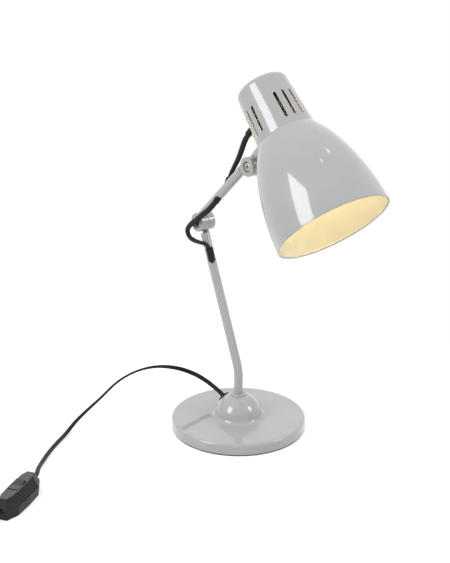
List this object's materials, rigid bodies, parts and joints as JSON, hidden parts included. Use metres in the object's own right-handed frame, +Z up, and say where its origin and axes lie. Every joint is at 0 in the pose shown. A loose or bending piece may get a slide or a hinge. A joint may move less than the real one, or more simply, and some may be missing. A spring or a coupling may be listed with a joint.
{
  "type": "articulated desk lamp",
  "caption": "Articulated desk lamp: round weighted base, bent tube stem, hinged forearm and bell shade with a slotted neck; mains cord with an inline rocker switch and a plug.",
  "frame": {"origin": "centre of the base's underside, on the table", "axes": "+Z up; the forearm and the shade reach towards -Y, both hinge axes lie along X with their screw heads towards -X, and the cord leaves the base towards +Y"},
  "size_m": [0.4739, 0.3274, 0.4074],
  "materials": {
    "enamel": "light grey gloss enamel",
    "iron": "as cast",
    "zinc": "zinc plated",
    "nickel": "nickel plated, warm",
    "chrome": "bright plated",
    "brass": "plain brass",
    "pad": "dark foam rubber",
    "fibre": "dark fibre",
    "black_rubber": "smooth black rubber",
    "sleeving": "black braided sleeving",
    "cord_vinyl": "black vinyl, satin",
    "switch_plastic": "black plastic, satin",
    "black_plastic": "black plastic",
    "holder_plastic": "dark moulded plastic",
    "insulator": "white glazed insulator",
    "bulb_glass": "frosted glass",
    "clear_glass": "clear glass",
    "filament": "bare wire"
  },
  "bodies": {
    "base": {"base_cover": "enamel", "base_pad": "pad", "base_plate": "zinc", "base_weight": "iron", "case_screws": "zinc", "cord": "cord_vinyl", "cord_clamp": "black_plastic", "cord_coil": "cord_vinyl", "cord_gland": "black_rubber", "cord_tail": "cord_vinyl", "cord_tie": "black_plastic", "lower_pivot_nut": "zinc", "lower_pivot_screw": "nickel", "lower_sleeve": "sleeving", "plate_screws": "zinc", "plug_body": "black_plastic", "plug_pins": "brass", "rocker_pin": "zinc", "stem_boot": "black_rubber", "stem_collar": "enamel", "stem_knuckle": "enamel", "stem_lead": "cord_vinyl", "stem_nut": "zinc", "stem_tube": "enamel", "stem_washer": "zinc", "switch_base": "switch_plastic", "switch_bridge": "brass", "switch_cover": "switch_plastic", "switch_terminals": "brass"},
    "arm": {"arm_knuckle_low": "enamel", "arm_tube": "enamel", "arm_knuckle_high": "enamel", "arm_lead": "cord_vinyl", "arm_grommets": "black_rubber", "friction_washers": "fibre", "spring_washers": "zinc"},
    "head": {"head_knuckle": "enamel", "upper_pivot_screw": "nickel", "upper_pivot_nut": "zinc", "head_tube": "enamel", "head_tube_screw": "zinc", "shade": "enamel", "neck_grommet": "black_rubber", "neck_boot": "black_rubber", "head_lead": "cord_vinyl", "holder_nipple": "zinc", "cap_nut": "chrome", "lock_nut": "zinc", "holder_cap": "holder_plastic", "holder_shell": "holder_plastic", "holder_core": "insulator", "holder_contact": "brass", "holder_liner": "zinc", "bulb_tip": "brass", "bulb_cap": "zinc", "bulb_glass": "bulb_glass", "bulb_mount": "clear_glass", "bulb_filament": "filament", "upper_sleeve": "sleeving"},
    "rocker": {"switch_rocker": "switch_plastic"}
  },
  "joints": [
    {"name": "lower_hinge", "type": "hinge", "parent": "base", "child": "arm", "pos_m": [0, 0.06348, 0.22592], "axis": [1, 0, 0], "range_deg": [-60, 35], "deforming": ["lower_sleeve"]},
    {"name": "upper_hinge", "type": "hinge", "parent": "arm", "child": "head", "pos_m": [0, -0.02303, 0.30617], "axis": [1, 0, 0], "range_deg": [-50, 50], "deforming": ["upper_sleeve"]},
    {"name": "switch_rocker_hinge", "type": "hinge", "parent": "base", "child": "rocker", "pos_m": [-0.28135, -0.00106, 0.01755], "axis": [-0.5446, 0.8387, 0], "range_deg": [0, 14]}
  ]
}
